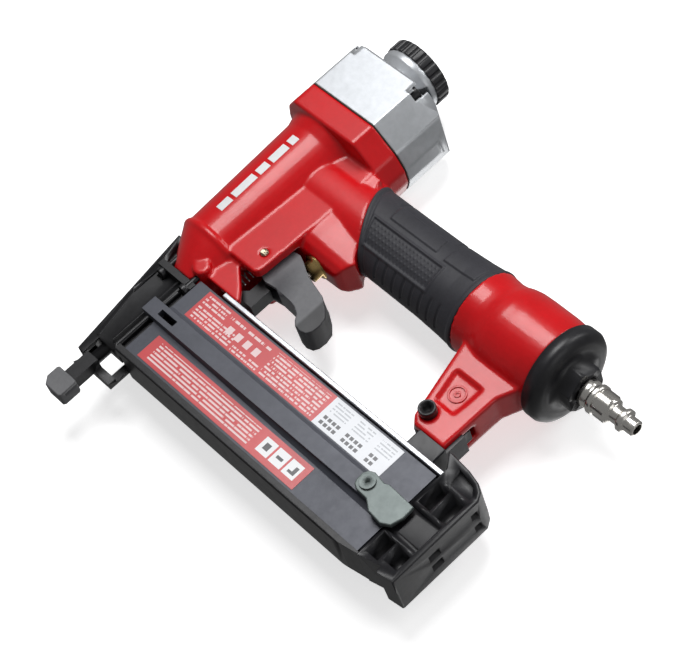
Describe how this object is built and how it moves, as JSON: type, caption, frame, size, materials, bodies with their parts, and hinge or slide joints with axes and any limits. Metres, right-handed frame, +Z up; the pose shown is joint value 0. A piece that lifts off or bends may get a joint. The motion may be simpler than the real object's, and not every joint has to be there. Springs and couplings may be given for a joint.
{
  "type": "pneumatic brad nailer",
  "caption": "Compressed-air brad nailer with rubber grip, swivelling exhaust knob, trigger, push-to-fire nose and a sliding side-load magazine.",
  "frame": {"origin": "on the driver axis, in the plane of the nose pad's contact face, where the brad leaves the tool", "axes": "+Z up along the driver axis from nose to cap, +X rearward along the handle, -Y towards the sliding magazine cover and its latch"},
  "size_m": [0.247, 0.053, 0.2415],
  "materials": {
    "body_paint": "glossy red enamel",
    "cap_metal": "satin silver lacquer",
    "grip_rubber": "soft matt rubber",
    "black_plastic": "moulded, fine texture",
    "grey_plastic": "moulded, fine texture",
    "magazine_paint": "satin dark blue-grey",
    "rail_metal": "extruded, satin",
    "black_steel": "phosphated steel",
    "steel": "ground",
    "nickel": "bright nickel plate",
    "brass": "turned",
    "seal_rubber": "moulded",
    "latch_metal": "satin grey-green",
    "label": "printed film",
    "gasket": "pressed fibre"
  },
  "bodies": {
    "tool": {"body_housing": "body_paint", "cylinder_sleeve": "steel", "cylinder_seal": "seal_rubber", "bumper": "seal_rubber", "cap_gasket": "gasket", "cylinder_cap": "cap_metal", "cap_screws": "black_steel", "head_valve_spring": "steel", "exhaust_screw": "black_steel", "grip_sleeve": "grip_rubber", "end_cap": "black_plastic", "end_cap_seal": "seal_rubber", "air_filter": "grey_plastic", "air_plug": "nickel", "trigger_pin": "nickel", "valve_body": "brass", "valve_seals": "seal_rubber", "valve_spring": "steel", "nose_guide": "black_steel", "nose_screws": "black_steel", "nose_cover": "black_steel", "contact_spring": "steel", "magazine_body": "magazine_paint", "magazine_top_rail": "rail_metal", "magazine_hanger": "black_plastic", "hanger_screw": "black_steel", "hanger_nut": "black_steel"},
    "exhaust": {"exhaust_deflector": "cap_metal", "exhaust_ring": "black_plastic"},
    "trigger": {"trigger": "grey_plastic", "lever_pin": "steel"},
    "lever": {"trigger_lever": "black_steel"},
    "valve_stem": {"valve_stem": "steel"},
    "work_contact": {"work_contact": "black_steel", "contact_arm": "black_steel", "nose_pad": "grey_plastic"},
    "driver": {"piston": "rail_metal", "piston_ring": "seal_rubber", "driver_blade": "steel"},
    "head_valve": {"head_valve": "black_plastic", "head_valve_seal": "seal_rubber"},
    "magazine": {"magazine_cover": "magazine_paint", "cover_labels": "label", "magazine_lower_rail": "black_steel", "magazine_foot": "black_plastic", "latch_rivet": "latch_metal"},
    "latch": {"latch": "latch_metal"},
    "pusher": {"magazine_pusher": "steel", "pusher_spring": "steel"}
  },
  "joints": [
    {"name": "exhaust_swivel", "type": "hinge", "parent": "tool", "child": "exhaust", "pos_m": [0, 0, 0.23], "axis": [0, 0, 1], "continuous": true},
    {"name": "trigger_pull", "type": "hinge", "parent": "tool", "child": "trigger", "pos_m": [0.0298, 0, 0.1128], "axis": [0, -1, 0], "range_deg": [0, 8]},
    {"name": "lever_tilt", "type": "hinge", "parent": "trigger", "child": "lever", "pos_m": [0.061, 0, 0.1106], "axis": [0, 1, 0], "range_deg": [0, 11.2]},
    {"name": "valve_push", "type": "slide", "parent": "tool", "child": "valve_stem", "axis": [0, 0, 1], "range_m": [0, 0.0021], "deforming": ["valve_spring"]},
    {"name": "contact_press", "type": "slide", "parent": "tool", "child": "work_contact", "axis": [0, 0, 1], "range_m": [0, 0.008], "deforming": ["contact_spring"]},
    {"name": "driver_stroke", "type": "slide", "parent": "tool", "child": "driver", "axis": [0, 0, -1], "range_m": [0, 0.08]},
    {"name": "head_valve_lift", "type": "slide", "parent": "tool", "child": "head_valve", "axis": [0, 0, 1], "range_m": [0, 0.003], "deforming": ["head_valve_spring"]},
    {"name": "magazine_slide", "type": "slide", "parent": "tool", "child": "magazine", "axis": [1, 0, 0], "range_m": [0, 0.09]},
    {"name": "latch_tilt", "type": "hinge", "parent": "magazine", "child": "latch", "pos_m": [0.1577, 0, 0.0609], "axis": [0, 1, 0], "range_deg": [0, 12]},
    {"name": "pusher_travel", "type": "slide", "parent": "magazine", "child": "pusher", "axis": [1, 0, 0], "range_m": [0, 0.108]}
  ],
  "couplings": [
    {"joint": "lever_tilt", "follows": "contact_press", "rad_per_m": 24},
    {"joint": "valve_push", "follows": "trigger_pull", "m_per_rad": 0.0143}
  ]
}
